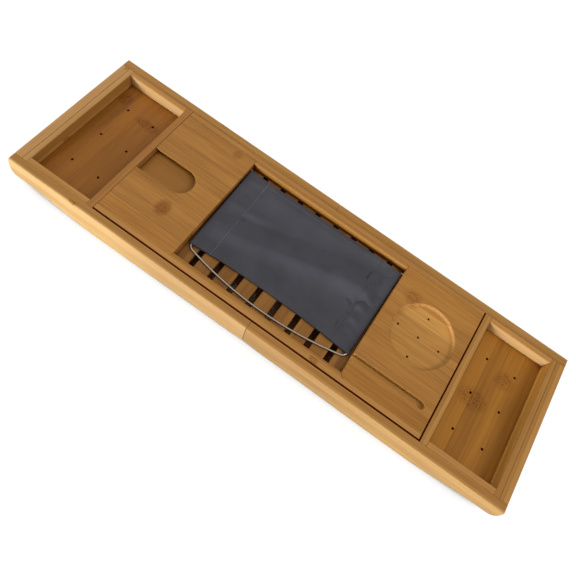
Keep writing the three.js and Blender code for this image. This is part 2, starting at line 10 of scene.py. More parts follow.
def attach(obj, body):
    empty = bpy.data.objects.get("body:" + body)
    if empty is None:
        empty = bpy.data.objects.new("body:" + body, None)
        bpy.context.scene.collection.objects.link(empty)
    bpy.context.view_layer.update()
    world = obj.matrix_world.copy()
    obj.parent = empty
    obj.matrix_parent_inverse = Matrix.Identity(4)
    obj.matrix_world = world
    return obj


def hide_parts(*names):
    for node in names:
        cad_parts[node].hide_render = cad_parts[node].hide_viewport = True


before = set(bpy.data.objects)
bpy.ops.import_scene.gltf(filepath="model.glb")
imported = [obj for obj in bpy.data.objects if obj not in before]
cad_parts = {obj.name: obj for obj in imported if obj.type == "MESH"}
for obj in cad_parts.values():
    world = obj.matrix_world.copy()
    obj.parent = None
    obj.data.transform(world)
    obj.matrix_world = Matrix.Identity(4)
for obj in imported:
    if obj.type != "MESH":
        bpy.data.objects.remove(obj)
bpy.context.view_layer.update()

# Lengths are in mm, unless a comment says otherwise
MM = 0.001

# Hinge line of the rack, at the back of the bay
RACK_CENTRE = -2.55
PIVOT_Y = 83.3
PIVOT_Z = 47.5

# Wire: two pegs in the panels beside the bay, two sides, and a bow at the front
WINDOW_HALF = 129.35
PEG_LENGTH = 6.0
PEG_BEND = 4.0
WIRE_RADIUS = 1.3
WIRE_HALF = 125.75
WIRE_SIDES = 16
CORNER_REACH = 148.0
CORNER_BEND = 8.0
BOW_RISE = 29.0
RACK_TAPER = 2.4

# Cloth: where it begins and ends from the hinge line, how much lower its front lies at rest, and
# the hems round the wire's sides
CLOTH_BACK = 2.0
CLOTH_FRONT = 143.6
CLOTH_LENGTH = CLOTH_FRONT - CLOTH_BACK
CLOTH_THICKNESS = 0.8
REST_FALL = 2.8
REST_LEAN = math.asin(REST_FALL / CLOTH_FRONT)
SLEEVE_RADIUS = 2.4
SLEEVE = SLEEVE_RADIUS - CLOTH_THICKNESS / 2
HEM_WIDTH = 33.0
HEM = WIRE_HALF + SLEEVE_RADIUS - HEM_WIDTH
SEAM = HEM + 1.2
EDGE_HEM = 6.0

# Solids that share a finish
LONG_STRIPS = ["left_front_strip", "left_back_strip", "right_front_strip", "right_back_strip"]
CENTRE_RAILS = ["centre_front_rail", "centre_back_rail"]
SLATS = [f"slat_{index}" for index in range(1, 10)]
FRAME_BARS = [
    "bay_front_bearer",
    "bay_back_bearer",
    "bay_left_cheek",
    "bay_right_cheek",
    "centre_left_end_rail",
    "centre_right_end_rail",
]
GRIPS = ["left_front_grip", "left_back_grip", "right_front_grip", "right_back_grip"]
STOP_SCREWS = [
    "left_front_stop_screw",
    "left_back_stop_screw",
    "right_front_stop_screw",
    "right_back_stop_screw",
]


def linear(code):
    """An sRGB hex colour as linear RGBA."""
    parts = [int(code[place : place + 2], 16) / 255 for place in (1, 3, 5)]
    lit = [part / 12.92 if part <= 0.04045 else ((part + 0.055) / 1.055) ** 2.4 for part in parts]
    return (*lit, 1.0)


def add(tree, kind, links=None, **settings):
    """Add a node with its settings, and link or set its sockets."""
    made = tree.nodes.new(kind)
    for name, value in settings.items():
        setattr(made, name, value)
    for socket, source in (links or {}).items():
        if isinstance(source, bpy.types.NodeSocket):
            tree.links.new(source, made.inputs[socket])
        else:
            made.inputs[socket].default_value = source
    return made


def calculate(tree, operation, *values):
    """The result of one operation on values or sockets."""
    return add(tree, "ShaderNodeMath", dict(enumerate(values)), operation=operation).outputs[0]


def calculate_vector(tree, operation, first, second):
    """The result of one operation on two vectors."""
    links = {0: first, 1: second}
    return add(tree, "ShaderNodeVectorMath", links, operation=operation).outputs[0]


def chance_of(tree, *numbers):
    """A value and a colour that belong by chance to a set of three whole numbers."""
    cell = add(tree, "ShaderNodeCombineXYZ", dict(enumerate(numbers))).outputs[0]
    return add(tree, "ShaderNodeTexWhiteNoise", {"Vector": cell}, noise_dimensions="3D").outputs


def remap(tree, value, start=0.0, end=1.0, low=0.0, high=1.0, smooth=False):
    """A value from start to end, spread over low to high and held there beyond both ends."""
    links = {"Value": value, "From Min": start, "From Max": end, "To Min": low, "To Max": high}
    curve = "SMOOTHSTEP" if smooth else "LINEAR"
    return add(tree, "ShaderNodeMapRange", links, interpolation_type=curve).outputs[0]


def mix(tree, share, first, second, way="MIX"):
    """Two colours, mixed or multiplied by a share."""
    links = {"Factor": share, 6: first, 7: second}
    return add(tree, "ShaderNodeMix", links, data_type="RGBA", blend_type=way).outputs[2]


def noise(tree, place, scale=1.0, detail=2.0):
    """Soft noise at a place."""
    links = {"Vector": place, "Scale": scale, "Detail": detail}
    return add(tree, "ShaderNodeTexNoise", links).outputs[0]


def scaled(tree, place, scale):
    """A place scaled on each axis."""
    return add(tree, "ShaderNodeMapping", {"Vector": place, "Scale": scale}).outputs[0]


def bump(tree, shader, height, strength, distance):
    """Raise a shader's surface by a height, with the distance in metres."""
    links = {"Height": height, "Strength": strength, "Distance": distance}
    tree.links.new(add(tree, "ShaderNodeBump", links).outputs[0], shader.inputs["Normal"])


def new_material(name, **values):
    """A material with its plain values set on the shader's own sockets."""
    material = bpy.data.materials.new(name)
    material.use_nodes = True
    shader = material.node_tree.nodes["Principled BSDF"]
    for socket, value in values.items():
        shader.inputs[socket.replace("_", " ")].default_value = value
    return material, material.node_tree, shader


def dress(names, material):
    """Give the solids of these names their finish."""
    for name in names:
        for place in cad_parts[name].material_slots:
            place.material = material


# Camera: the photograph's own viewpoint, lens and tilt

camera_data = bpy.data.cameras.new("camera")
camera_data.sensor_width = 36
camera_data.lens = 31.663
camera_data.clip_start = 0.01
camera_data.clip_end = 60
camera = bpy.data.objects.new("camera", camera_data)
right = Vector((0.81585, 0.54885, 0.18209))
up = Vector((-0.57423, 0.73182, 0.36701))
back = Vector((0.06818, -0.40399, 0.91222))
camera.matrix_world = Matrix(
    (
        (right.x, up.x, back.x, 0.05573),
        (right.y, up.y, back.y, -0.30036),
        (right.z, up.z, back.z, 0.65028),
        (0, 0, 0, 1),
    )
)
bpy.context.scene.collection.objects.link(camera)
bpy.context.scene.camera = camera


# Bamboo: strips glued side by side, planed, sanded and wiped with a clear satin lacquer. It has
# long fine fibres, strips that differ a little in tone, and here and there a knuckle with dark dots.

# A board's own axes. They are X, Y and Z, or Y, -X and Z where the fibres run along Y.
ALONG, ACROSS, UP = 0, 1, 2

# How dense the grain's features are on those axes, per metre
FIBRES = (18, 760, 760)
BUNDLES = (7, 210, 210)
CLOUDS = (9, 38, 38)
VEINS = (6, 470, 470)
FIBRE_ENDS = (290, 640, 640)

# Where the first strip and the first layer begin, as shares of their width
STRIP_START = 0.37
LAYER_START = 0.11

# A knuckle comes once in this length of a strip, in metres, and only in the luckiest stretches. At
# these shares of that length from its middle it has faded out, and is still full.
KNUCKLE_SPACING = 0.26
KNUCKLE_LUCK = 0.82
KNUCKLE_FADE = 0.034
KNUCKLE_FULL = 0.01

# The sums of tone that give the dark and the pale shade
DARKEST = 1.125
PALEST = 1.725


def past(axis, place):
    """A limit that keeps what lies past a place on a board's axis."""
    return axis, "GREATER_THAN", place


def short_of(axis, place):
    """A limit that keeps what lies short of a place on a board's axis."""
    return axis, "LESS_THAN", place


def within(tree, axes, limits):
    """1 where a place keeps every one of the limits, or else 0."""
    inside = 1.0
    for axis, comparison, place in limits:
        kept = calculate(tree, comparison, axes[axis], place * MM)
        inside = calculate(tree, "MULTIPLY", inside, kept)
    return inside


def strips_of(tree, axes, strip, layer, seed):
    """How far a place is across the strips, and the numbers of its strip and of its layer."""
    across = calculate(tree, "DIVIDE", axes[ACROSS], strip * MM)
    across = calculate(tree, "ADD", across, seed + STRIP_START)
    height = calculate(tree, "DIVIDE", axes[UP], layer * MM)
    height = calculate(tree, "ADD", height, seed + LAYER_START)
    return across, calculate(tree, "FLOOR", across), calculate(tree, "FLOOR", height)


def knuckle(tree, place, centre, size):
    """How much a place belongs to a knuckle at the given centre, soft at its border."""
    offset = calculate_vector(tree, "SUBTRACT", place, centre)
    share = calculate_vector(tree, "DIVIDE", offset, size)
    reach = add(tree, "ShaderNodeVectorMath", {0: share}, operation="LENGTH").outputs["Value"]
    return remap(tree, reach, 1.15, 0.45, smooth=True)


def placed_knuckles(tree, axes, along, marks):
    """How much a place belongs to one of the knuckles at the given marks."""
    flat = add(tree, "ShaderNodeCombineXYZ", {0: axes[ALONG], 1: axes[ACROSS]}).outputs[0]
    knotted = 0.0
    for x, y, length, width, strength in marks:
        centre = (x * MM, y * MM, 0) if along == "X" else (y * MM, -x * MM, 0)
        spot = knuckle(tree, flat, centre, (length * MM, width * MM, 1.0))
        spot = calculate(tree, "MULTIPLY", spot, strength)
        knotted = calculate(tree, "MAXIMUM", knotted, spot)
    return knotted


def chance_knuckles(tree, axes, chance, strip_count, layer_count):
    """How much a place belongs to one of the knuckles that chance puts on some strips."""
    # Each strip's row of knuckles is slid along by up to seven times their spacing
    lengthwise = calculate(tree, "DIVIDE", axes[ALONG], KNUCKLE_SPACING)
    slid = calculate(tree, "MULTIPLY_ADD", chance, 7.0, lengthwise)
    stretch = calculate(tree, "FLOOR", slid)
    luck = chance_of(tree, stretch, strip_count, layer_count)["Value"]
    aside = calculate(tree, "SUBTRACT", calculate(tree, "FRACT", slid), 0.5)
    apart = calculate(tree, "ABSOLUTE", aside)
    band = remap(tree, apart, KNUCKLE_FADE, KNUCKLE_FULL, smooth=True)
    lucky = calculate(tree, "GREATER_THAN", luck, KNUCKLE_LUCK)
    return calculate(tree, "MULTIPLY", band, lucky)


def bamboo(
    names,
    finish,
    pale,
    dark,
    along,
    strip,
    layer,
    seed,
    marks=(),
    tints=(),
    painted_falloffs=(),
    painted_shade_reach=12.0,
    patch="#F1E5D2",
):
    """Dress solids in laminated bamboo whose fibres run along X or Y.

    Strip and layer are widths, across and up. A mark is a knuckle: X, Y, length, width, strength.
    Each of tints is a tint with its limits: painted light or shade on a face, wall, edge, gap or
    bore, or a real change of tone. A painted falloff is light painted to fade along the board:
    tint, start, end and limit. The painted shade reach is how far the painted reddish-brown shade
    of creases and gaps reaches, and patch is the shade between the dots of a knuckle.
    """
    material, tree, shader = new_material(finish, Roughness=0.5, Specular_IOR_Level=0.15)
    place = add(tree, "ShaderNodeTexCoord").outputs["Object"]
    turn = (0, 0, math.radians(-90) if along == "Y" else 0.0)
    grain = add(tree, "ShaderNodeMapping", {"Vector": place, "Rotation": turn}).outputs[0]
    axes = add(tree, "ShaderNodeSeparateXYZ", {0: grain}).outputs
    across, strip_count, layer_count = strips_of(tree, axes, strip, layer, seed)
    chance = chance_of(tree, strip_count, layer_count, seed)

    # Each strip comes from another place in a cane, so its grain is moved by up to 3 m
    shift = calculate_vector(tree, "MULTIPLY", chance["Color"], (3.0, 0.0, 3.0))
    moved = calculate_vector(tree, "ADD", grain, shift)
    fibres = noise(tree, scaled(tree, moved, FIBRES), detail=3.0)
    bundles = noise(tree, scaled(tree, moved, BUNDLES), detail=2.5)
    clouds = noise(tree, scaled(tree, moved, CLOUDS), detail=2.0)

    # Tone: each strip's own, then its clouds, bundles and fibres
    tone = remap(tree, chance["Value"], low=0.15, high=0.75)
    for source, weight in ((clouds, 0.6), (bundles, 0.4), (fibres, 0.95)):
        tone = calculate(tree, "MULTIPLY_ADD", source, weight, tone)
    colour = mix(tree, remap(tree, tone, DARKEST, PALEST), linear(dark), linear(pale))

    # A few long dark veins, and glue lines about 0.4 mm wide between strips
    veins = noise(tree, scaled(tree, moved, VEINS), detail=1.0)
    vein = remap(tree, veins, 0.6, 0.72, 1.0, 0.87, smooth=True)
    line = remap(tree, calculate(tree, "FRACT", across), 0.0, 0.8 / strip, 0.86, 1.0, smooth=True)
    colour = mix(tree, 1.0, colour, calculate(tree, "MULTIPLY", line, vein), "MULTIPLY")

    # Knuckles, each with a cloud of cut fibre ends 3 mm long and 1 mm across
    if marks:
        knotted = placed_knuckles(tree, axes, along, marks)
    else:
        knotted = chance_knuckles(tree, axes, chance["Value"], strip_count, layer_count)
    ends = {"Vector": scaled(tree, grain, FIBRE_ENDS), "Scale": 1.0}
    dots = remap(tree, add(tree, "ShaderNodeTexVoronoi", ends).outputs["Distance"], 0.22, 0.5)
    shade = mix(tree, dots, linear("#9C8352"), linear(patch))
    colour = mix(tree, knotted, colour, mix(tree, 1.0, colour, shade, "MULTIPLY"))

    # Tints: painted light and shade on faces, walls, edges, gaps and bores, and some real changes of
    # tone
    for tint, *limits in tints:
        colour = mix(tree, within(tree, axes, limits), colour, (*tint, 1.0), "MULTIPLY")
    # Painted falloffs: painted light that fades slowly along the board
    for tint, start, end, limit in painted_falloffs:
        slow = remap(tree, axes[ALONG], start * MM, end * MM, smooth=True)
        share = calculate(tree, "MULTIPLY", slow, within(tree, axes, [limit]))
        colour = mix(tree, share, colour, (*tint, 1.0), "MULTIPLY")

    # Painted shade: where other surfaces lie close, in creases, gaps and hollows,
    # the colour turns reddish brown
    near = {"Distance": painted_shade_reach * MM}
    open_air = add(tree, "ShaderNodeAmbientOcclusion", near, samples=8).outputs["AO"]
    painted_corner_shade = mix(tree, remap(tree, open_air, 0.15, 0.62), linear("#8E4218"), (1, 1, 1, 1))
    colour = mix(tree, 1.0, colour, painted_corner_shade, "MULTIPLY")

    tree.links.new(colour, shader.inputs["Base Color"])
    tree.links.new(remap(tree, bundles, 0.3, 0.7, 0.4, 0.52), shader.inputs["Roughness"])
    bump(tree, shader, fibres, strength=0.25, distance=0.0003)
    dress(names, material)


# Faces of the rails and strips of the arms. Painted light: paler lit front, lower and back faces,
# and light that falls off along the front faces towards the middle
FRONT_FACE = short_of(ACROSS, -112.5)
LEFT_FRONT_PAINTED_LIGHT = ((1.66, 2.1, 3.1), FRONT_FACE)
RIGHT_FRONT_PAINTED_LIGHT = ((1.2, 1.42, 1.72), FRONT_FACE)
LOW_FRONT_PAINTED_LIGHT = ((1.14, 1.22, 1.26), short_of(UP, 16), FRONT_FACE)
BACK_FACE_PAINTED_LIGHT = ((1.0, 1.2, 1.5), past(ACROSS, 112.5))
LEFT_FRONT_LIGHT_FALLOFF = ((0.78, 0.74, 0.72), -235, -120, FRONT_FACE)
RIGHT_FRONT_LIGHT_FALLOFF = ((0.83, 0.79, 0.74), 230, 90, FRONT_FACE)
# Painted shade on the left end wall, painted light on the right end wall and the long walls
INNER_WALL = short_of(UP, 54.6)
LEFT_END_WALL_PAINTED_SHADE = ((0.86, 0.76, 0.54), INNER_WALL)
RIGHT_END_WALL_PAINTED_LIGHT = ((1.6, 1.75, 1.6), INNER_WALL)
LONG_WALL_PAINTED_LIGHT = ((1.4, 1.82, 2.9), INNER_WALL)

# Cuts in the right panel, and its changes of tone from front to back. The recess and groove
# walls get painted light, the drain bores painted shade, and the recess floor another tint
ABOVE_UNDERSIDE = past(UP, 44.4)
RECESS_WALL_PAINTED_LIGHT = ((1.45, 1.85, 3.0), short_of(UP, 55.3), ABOVE_UNDERSIDE)
RECESS_FLOOR = ((1.02, 0.9, 0.66), short_of(UP, 50.6), ABOVE_UNDERSIDE)
GROOVE_WALL_PAINTED_LIGHT = ((1.16, 1.22, 1.15), short_of(UP, 55.3), short_of(ACROSS, -50), ABOVE_UNDERSIDE)
BORE_WALL_PAINTED_SHADE = (
    (0.9, 0.03, 0.02),
    short_of(UP, 47.9),
    past(ALONG, 140),
    short_of(ALONG, 240),
    ABOVE_UNDERSIDE,
)
RIGHT_PANEL_FRONT = ((0.84, 0.79, 0.64), short_of(ACROSS, -72))
RIGHT_PANEL_BACK = ((1.08, 1.08, 1.0), past(ACROSS, 64))
LEFT_PANEL_FRONT = ((0.94, 0.89, 0.82), short_of(ACROSS, -72))

# The long edges of the centre tray, and painted shade, dark red, in the gaps between it and the arms
CENTRE_FRONT = ((0.94, 0.94, 0.95), short_of(ACROSS, -90))
CENTRE_BACK = ((1.1, 1.11, 1.2), past(ACROSS, 90))
NEAR_TOP = past(UP, 55.0)
GAP_PAINTED_SHADE = ((0.45, 0.015, 0.01), short_of(ACROSS, -100.4), NEAR_TOP)
END_GAP_PAINTED_SHADE = ((0.4, 0.015, 0.01), past(ALONG, 247.1), NEAR_TOP)

# Lips and slats of the bay. The back lip has a painted highlight on its edge and painted shade
# down its face, and the front lip painted shade on its inside. The slats and the tray floors
# run along Y.
LIP_EDGE_PAINTED_HIGHLIGHT = ((1.2, 1.25, 1.35), short_of(ACROSS, 91.2))
LIP_FACE_PAINTED_SHADE = ((0.8, 0.74, 0.65), short_of(UP, 52.5))
LIP_FOOT_PAINTED_SHADE = ((0.75, 0.66, 0.5), short_of(UP, 48.5))
LIP_INSIDE_PAINTED_SHADE = ((0.82, 0.72, 0.58), past(ACROSS, -91.6))
SLATS_RIGHT = ((1.16, 1.18, 1.2), short_of(ACROSS, -33))

# Drain holes and the outer end of the tray floors. The bore walls get painted shade, and the
# right floor's outer end is darker: a darker strip and painted shade from the end wall
FLOOR_END_TONE_AND_SHADE = ((0.86, 0.84, 0.82), short_of(ACROSS, -331))
FLOOR_INSIDE = (short_of(UP, 35.0), past(UP, 30.0))
LEFT_BORE_PAINTED_SHADE = ((1.5, 0.3, 0.1), *FLOOR_INSIDE, past(ACROSS, 252))
RIGHT_BORE_PAINTED_SHADE = ((1.5, 0.3, 0.1), *FLOOR_INSIDE, short_of(ACROSS, -252))

# How the boards are laid up: the widths of their strips and of their layers
RAIL_WOOD = {"strip": 6, "layer": 19}
LONG_WOOD = {"strip": 8, "layer": 22}
SHORT_WOOD = {"strip": 10, "layer": 22}
PANEL_WOOD = {"strip": 21, "layer": 60}
NARROW_WOOD = {"strip": 9, "layer": 60}
FLOOR_WOOD = {"strip": 20, "layer": 60}

# The front rails differ mainly in painted light: the left one's front is lit paler
bamboo(
    ["left_front_rail"], "bamboo_rail_left_painted_light", "#A7783E", "#8F632C", "X",
    **RAIL_WOOD, seed=2,
    tints=[LEFT_FRONT_PAINTED_LIGHT, LOW_FRONT_PAINTED_LIGHT],
    painted_falloffs=[LEFT_FRONT_LIGHT_FALLOFF],
)
bamboo(
    ["right_front_rail"], "bamboo_rail_right_painted_light", "#A8773C", "#8F622A", "X",
    **RAIL_WOOD, seed=2,
    tints=[RIGHT_FRONT_PAINTED_LIGHT, LOW_FRONT_PAINTED_LIGHT],
    painted_falloffs=[RIGHT_FRONT_LIGHT_FALLOFF],
)
bamboo(
    ["left_back_rail", "right_back_rail"], "bamboo_rail_back", "#A7783E", "#8F632C", "X",
    **RAIL_WOOD, seed=2,
    tints=[BACK_FACE_PAINTED_LIGHT],
)
# The left end rail's paler colour is painted light, for the extra light at the left end
bamboo(["left_end_rail"], "bamboo_end_rail_left_painted_light", "#B28550", "#986F3B", "Y", **RAIL_WOOD, seed=8)
bamboo(["right_end_rail"], "bamboo_end_rail_right", "#AB7B3F", "#92652D", "Y", **RAIL_WOOD, seed=5)
bamboo(
    LONG_STRIPS, "bamboo_strip_lengthwise", "#B28146", "#9A6A33", "X",
    **LONG_WOOD, seed=9,
    tints=[LONG_WALL_PAINTED_LIGHT],
)
bamboo(
    ["left_end_strip"], "bamboo_end_strip_pale", "#BE9259", "#A57A44", "Y",
    **SHORT_WOOD, seed=14,
    tints=[LEFT_END_WALL_PAINTED_SHADE],
)
bamboo(
    ["right_end_strip"], "bamboo_end_strip_amber", "#AB7C40", "#93652F", "Y",
    **SHORT_WOOD, seed=12,
    tints=[RIGHT_END_WALL_PAINTED_LIGHT],
)
bamboo(
    ["left_cross_bar"], "bamboo_cross_bar_left", "#A16F37", "#8A5A28", "Y",
    **SHORT_WOOD, seed=12,
)
bamboo(
    ["right_cross_bar"], "bamboo_cross_bar_right", "#AB7C40", "#93652F", "Y",
    **SHORT_WOOD, seed=12,
)
bamboo(
    ["left_panel"], "bamboo_panel_left", "#A97639", "#895A25", "X",
    **PANEL_WOOD, seed=1,
    marks=[(-183, -46, 12, 15, 0.85), (-158, 86, 8, 9, 0.5)],
    tints=[LEFT_PANEL_FRONT],
    patch="#D6BC98",
)
bamboo(
    ["right_panel"], "bamboo_panel_right", "#A97638", "#895A25", "X",
    **PANEL_WOOD, seed=1,
    marks=[(154, 57, 15, 14, 0.75)],
    tints=[
        RECESS_WALL_PAINTED_LIGHT,
        RECESS_FLOOR,
        GROOVE_WALL_PAINTED_LIGHT,
        BORE_WALL_PAINTED_SHADE,
        RIGHT_PANEL_FRONT,
        RIGHT_PANEL_BACK,
        END_GAP_PAINTED_SHADE,
    ],
    painted_shade_reach=2.5,
)
bamboo(
    ["bay_front_lip"], "bamboo_lip_front", "#A17237", "#885A26", "X",
    **NARROW_WOOD, seed=3,
    tints=[LIP_INSIDE_PAINTED_SHADE],
)
bamboo(
    ["bay_back_lip"], "bamboo_lip_back", "#9E6F36", "#865A28", "X",
    **NARROW_WOOD, seed=3,
    tints=[LIP_EDGE_PAINTED_HIGHLIGHT, LIP_FACE_PAINTED_SHADE, LIP_FOOT_PAINTED_SHADE],
    painted_shade_reach=20,
)
bamboo(
    CENTRE_RAILS, "bamboo_centre_rail", "#AD7C3F", "#93652F", "X",
    **NARROW_WOOD, seed=3,
    tints=[CENTRE_FRONT, CENTRE_BACK, GAP_PAINTED_SHADE, END_GAP_PAINTED_SHADE],
)
bamboo(
    SLATS, "bamboo_slat_planed", "#8C5E29", "#754B1C", "Y",
    strip=21.5, layer=60, seed=4,
    tints=[SLATS_RIGHT],
    painted_shade_reach=9,
)
bamboo(
    ["left_tray_floor"], "bamboo_floor_caramel", "#925C1E", "#794913", "Y",
    **FLOOR_WOOD, seed=6,
    marks=[(-345, 70, 14, 11, 0.9), (-292, 53, 9, 24, 0.9)],
    tints=[LEFT_BORE_PAINTED_SHADE],
)
bamboo(
    ["right_tray_floor"], "bamboo_floor_planed", "#A26B23", "#875619", "Y",
    **FLOOR_WOOD, seed=7,
    marks=[(318, 42, 16, 17, 0.8), (291, -6, 17, 24, 0.85)],
    tints=[FLOOR_END_TONE_AND_SHADE, RIGHT_BORE_PAINTED_SHADE],
)
bamboo(
    ["glass_slot_floor"], "bamboo_slot_floor_sanded", "#9E6D2F", "#906027", "X",
    strip=26, layer=60, seed=9,
)
bamboo(FRAME_BARS, "bamboo_frame_sawn", "#A06B32", "#875727", "Y", strip=10, layer=10, seed=11)


def moulded_silicone():
    """Silicone: moulded, milky and matt, soft enough to grip a tub's rim."""
    material, tree, shader = new_material(
        "silicone_moulded", Roughness=0.55, IOR=1.41, Subsurface_Weight=0.2, Subsurface_Scale=0.002
    )
    cloud = noise(tree, add(tree, "ShaderNodeTexCoord").outputs["Object"], 300.0)
    colour = mix(tree, cloud, linear("#CFC9BC"), linear("#DDD8CC"))
    tree.links.new(colour, shader.inputs["Base Color"])
    return material


def plated_steel():
    """Screw steel: zinc plated, slightly clouded."""
    material, tree, shader = new_material("steel_zinc_plated", Metallic=1.0)
    shader.inputs["Base Color"].default_value = linear("#B9B7B2")
    cloud = noise(tree, add(tree, "ShaderNodeTexCoord").outputs["Object"], 900.0, 4.0)
    tree.links.new(remap(tree, cloud, low=0.25, high=0.5), shader.inputs["Roughness"])
    return material


def drawn_wire():
    """Bright stainless wire with fine lengthwise drawing marks."""
    material, tree, shader = new_material("steel_drawn_wire", Metallic=1.0)
    shader.inputs["Base Color"].default_value = linear("#968D80")
    place = add(tree, "ShaderNodeTexCoord").outputs["UV"]
    marks = noise(tree, scaled(tree, place, (60, 9000, 1)), detail=3.0)
    tree.links.new(remap(tree, marks, low=0.28, high=0.46), shader.inputs["Roughness"])
    bump(tree, shader, marks, strength=0.15, distance=0.0001)
    return material


# A wave texture at this scale has one wave to a metre
WAVES = 0.314


def oxford_cloth():
    """Oxford cloth: plain weave of slate polyester with a light coating.

    The real threads are 0.35 mm apart. They are drawn 0.7 mm apart, so that the weave shows at all.
    """
    material, tree, shader = new_material(
        "oxford_cloth_slate",
        Roughness=0.75,
        Sheen_Weight=0.12,
        Sheen_Roughness=0.5,
        Specular_IOR_Level=0.2,
    )
    shader.inputs["Sheen Tint"].default_value = linear("#B8BAC6")
    place = add(tree, "ShaderNodeTexCoord").outputs["UV"]
    thread = 0.7 * MM
    links = {"Vector": place, "Scale": WAVES / thread, "Distortion": 0.6, "Detail": 1.0}
    warp = add(tree, "ShaderNodeTexWave", links, bands_direction="X").outputs["Fac"]
    weft = add(tree, "ShaderNodeTexWave", links, bands_direction="Y").outputs["Fac"]
    weave = calculate(tree, "MULTIPLY", warp, weft)
    slub = noise(tree, scaled(tree, place, (60, 700, 1)))
    tone = calculate(tree, "MULTIPLY_ADD", weave, 0.25, noise(tree, place, 22.0))
    tone = calculate(tree, "MULTIPLY_ADD", slub, 0.3, tone)
    colour = mix(tree, remap(tree, tone, 0.4, 1.0), linear("#39383D"), linear("#444349"))
    tree.links.new(colour, shader.inputs["Base Color"])
    bump(tree, shader, weave, strength=0.3, distance=0.00015)
    return material


def sewing_thread(name, code):
    """Spun polyester thread: a fine twist too small to show, drawn as a fuzzy sheen."""
    material, tree, shader = new_material(name, Roughness=0.7, Sheen_Weight=0.3)
    twist = noise(tree, add(tree, "ShaderNodeTexCoord").outputs["Object"], 2500.0)
    colour = mix(tree, 1.0, linear(code), remap(tree, twist, low=0.8, high=1.1), "MULTIPLY")
    tree.links.new(colour, shader.inputs["Base Color"])
    return material


dress(GRIPS, moulded_silicone())
dress(STOP_SCREWS, plated_steel())
wire_steel = drawn_wire()
slate_cloth = oxford_cloth()
grey_thread = sewing_thread("thread_grey", "#86858D")
slate_thread = sewing_thread("thread_slate", "#434248")


# Rack pieces are drawn flat, with the hinge line along X at the origin, then laid at rest

rack_rest = (
    Matrix.Translation(Vector((RACK_CENTRE, PIVOT_Y, PIVOT_Z)) * MM)
    @ Matrix.Rotation(REST_LEAN, 4, "X")
    @ Matrix.Scale(MM, 4)
)


def new_piece(name, vertices, faces, material, distances):
    """A smooth mesh piece at its place in the rack, with UVs that are distances in metres."""
    mesh = bpy.data.meshes.new(name)
    mesh.from_pydata(vertices, [], faces)
    layer = mesh.uv_layers.new(name="distances")
    for loop in mesh.loops:
        layer.data[loop.index].uv = distances[loop.vertex_index]
    mesh.transform(rack_rest)
    mesh.shade_smooth()
    mesh.materials.append(material)
    made = bpy.data.objects.new(name, mesh)
    bpy.context.scene.collection.objects.link(made)
    return made


def bend(first, middle, last, steps):
    """Points of a round bend between two straight lengths, without its last point."""
    points = []
    for step in range(steps):
        share = step / steps
        points.append(first * (1 - share) ** 2 + middle * 2 * share * (1 - share) + last * share**2)
    return points


def towards(start, end, distance):
    """The point at a distance from the start on the way to the end."""
    return start + (end - start).normalized() * distance


def wire_route():
    """The wire's centre line: peg, side, bow, side and peg."""
    peg_steps, corner_steps, bow_steps = 12, 14, 60
    peg = Vector((WINDOW_HALF + PEG_LENGTH, 0, 0))
    back_corner = Vector((WIRE_HALF, 0, 0))
    front_corner = Vector((WIRE_HALF - RACK_TAPER * CORNER_REACH / CLOTH_FRONT, -CORNER_REACH, 0))
    bow = Vector((0, -CORNER_REACH - BOW_RISE, 0))
    half = [
        peg,
        towards(back_corner, peg, PEG_BEND),
        back_corner,
        towards(back_corner, front_corner, PEG_BEND),
        towards(front_corner, back_corner, CORNER_BEND),
        front_corner,
        towards(front_corner, bow, CORNER_BEND),
    ]
    other = [Vector((-point.x, point.y, 0)) for point in half]
    route = [other[0], *bend(*other[1:4], peg_steps), *bend(*other[4:7], corner_steps)]
    route += bend(other[6], bow, half[6], bow_steps)
    route += bend(half[6], half[5], half[4], corner_steps)
    return [*route, *bend(half[3], half[2], half[1], peg_steps), half[1], half[0]]


def tube(name, route, radius, sides, material):
    """A round bar along a route that lies flat, with closed ends."""
    vertices, faces, distances = [], [], []
    travelled = 0.0
    for place, point in enumerate(route):
        before = route[max(place - 1, 0)]
        after = route[min(place + 1, len(route) - 1)]
        travelled += (point - before).length
        ahead = (after - before).normalized()
        aside = Vector((-ahead.y, ahead.x, 0))
        for side in range(sides):
            angle = 2 * math.pi * side / sides
            around = aside * math.cos(angle) + Vector((0, 0, 1)) * math.sin(angle)
            vertices.append(point + around * radius)
            distances.append((travelled * MM, radius * angle * MM))
    for ring in range(len(route) - 1):
        for side in range(sides):
            near = ring * sides
            far = near + sides
            ahead_side = (side + 1) % sides
            faces.append((near + side, near + ahead_side, far + ahead_side, far + side))
    faces.append(tuple(range(sides))[::-1])
    faces.append(tuple(range((len(route) - 1) * sides, len(route) * sides)))
    made = new_piece(name, vertices, faces, material, distances)
    work = bmesh.new()
    work.from_mesh(made.data)
    bmesh.ops.recalc_face_normals(work, faces=work.faces)
    work.to_mesh(made.data)
    work.free()
    return made


wire = tube("wire_frame", wire_route(), WIRE_RADIUS, WIRE_SIDES, wire_steel)
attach(wire, "rack")
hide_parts("rack_wire")


# Cloth: one sheet whose sides turn round the wire and are sewn down to themselves. Its folds are
# ridges and hollows, each along a short route in the caddy's X and Y: the route, its half width,
# and its height at its start and at its end.

